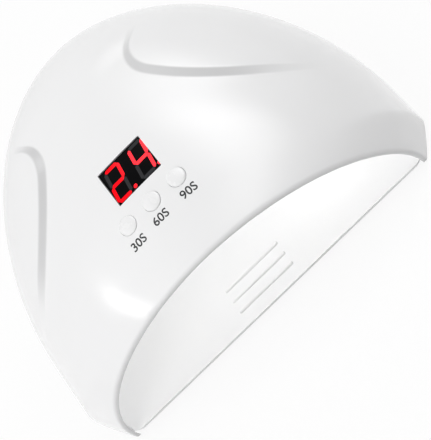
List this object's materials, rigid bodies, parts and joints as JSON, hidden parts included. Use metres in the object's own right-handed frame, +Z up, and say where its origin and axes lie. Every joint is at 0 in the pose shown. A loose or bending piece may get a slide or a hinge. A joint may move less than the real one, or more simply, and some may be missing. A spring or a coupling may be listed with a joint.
{
  "type": "uv curing lamp",
  "caption": "White dome curing lamp with an arched hand opening, red timer display, push buttons, shoulder grips, light strips inside and a pull-off base tray.",
  "frame": {"origin": "on the surface the feet stand on, under the middle of the whole lamp", "axes": "+Z up, -Y out of the hand opening towards the user, +X to the user's right"},
  "size_m": [0.1864, 0.1662, 0.0842],
  "materials": {
    "white_shell": "glossy white moulded ABS",
    "white_liner": "satin white moulded ABS that throws the light back",
    "white_tray": "satin white moulded ABS",
    "white_button": "glossy white moulded ABS",
    "rubber": "soft black rubber",
    "display_black": "black display face with red segments",
    "board_green": "green lacquered board",
    "strip_white": "white lacquered flexible board",
    "led_yellow": "clear lens over a yellow emitter",
    "chip_black": "black moulded package",
    "switch_black": "black moulded switch",
    "capacitor_sleeve": "dark blue sleeve",
    "plug_cream": "cream nylon",
    "jack_black": "black moulded socket",
    "plated_metal": "nickel plate",
    "screw_steel": "zinc-plated steel",
    "lead_black": "black insulation",
    "link_red": "red insulation"
  },
  "bodies": {
    "housing": {"top_shell": "white_shell", "inner_liner": "white_liner", "display_module": "display_black", "control_board": "board_green", "control_chip": "chip_black", "led_driver": "chip_black", "capacitor": "capacitor_sleeve", "power_plug": "plug_cream", "led_plug": "plug_cream", "left_board_screw": "screw_steel", "right_board_screw": "screw_steel", "front_left_screw": "screw_steel", "front_right_screw": "screw_steel", "rear_left_screw": "screw_steel", "rear_right_screw": "screw_steel", "front_led_link": "link_red", "rear_led_link": "link_red", "led_lead": "link_red", "power_lead": "lead_black", "power_socket": "jack_black", "socket_pin": "plated_metal", "socket_nut": "plated_metal", "front_led_strip": "strip_white", "front_led_1": "led_yellow", "front_led_2": "led_yellow", "front_led_3": "led_yellow", "front_led_4": "led_yellow", "front_led_5": "led_yellow", "front_led_6": "led_yellow", "middle_led_strip": "strip_white", "middle_led_1": "led_yellow", "middle_led_2": "led_yellow", "middle_led_3": "led_yellow", "middle_led_4": "led_yellow", "middle_led_5": "led_yellow", "middle_led_6": "led_yellow", "rear_led_strip": "strip_white", "rear_led_1": "led_yellow", "rear_led_2": "led_yellow", "rear_led_3": "led_yellow", "rear_led_4": "led_yellow", "rear_led_5": "led_yellow", "rear_led_6": "led_yellow", "switch_body_30": "switch_black", "switch_body_60": "switch_black", "switch_body_90": "switch_black"},
    "tray": {"base_tray": "white_tray", "front_left_foot": "rubber", "front_right_foot": "rubber", "rear_left_foot": "rubber", "rear_right_foot": "rubber"},
    "button_30": {"timer_button_30": "white_button", "switch_plunger_30": "switch_black"},
    "button_60": {"timer_button_60": "white_button", "switch_plunger_60": "switch_black"},
    "button_90": {"timer_button_90": "white_button", "switch_plunger_90": "switch_black"}
  },
  "joints": [
    {"name": "tray_release", "type": "slide", "parent": "housing", "child": "tray", "axis": [0, 0, -1], "range_m": [0, 0.03]},
    {"name": "button_30_press", "type": "slide", "parent": "housing", "child": "button_30", "axis": [0, 0.2172, -0.9761], "range_m": [0, 0.0007], "stiffness_N_per_m": 2800},
    {"name": "button_60_press", "type": "slide", "parent": "housing", "child": "button_60", "axis": [0, 0.2172, -0.9761], "range_m": [0, 0.0007], "stiffness_N_per_m": 2800},
    {"name": "button_90_press", "type": "slide", "parent": "housing", "child": "button_90", "axis": [0, 0.2172, -0.9761], "range_m": [0, 0.0007], "stiffness_N_per_m": 2800}
  ]
}
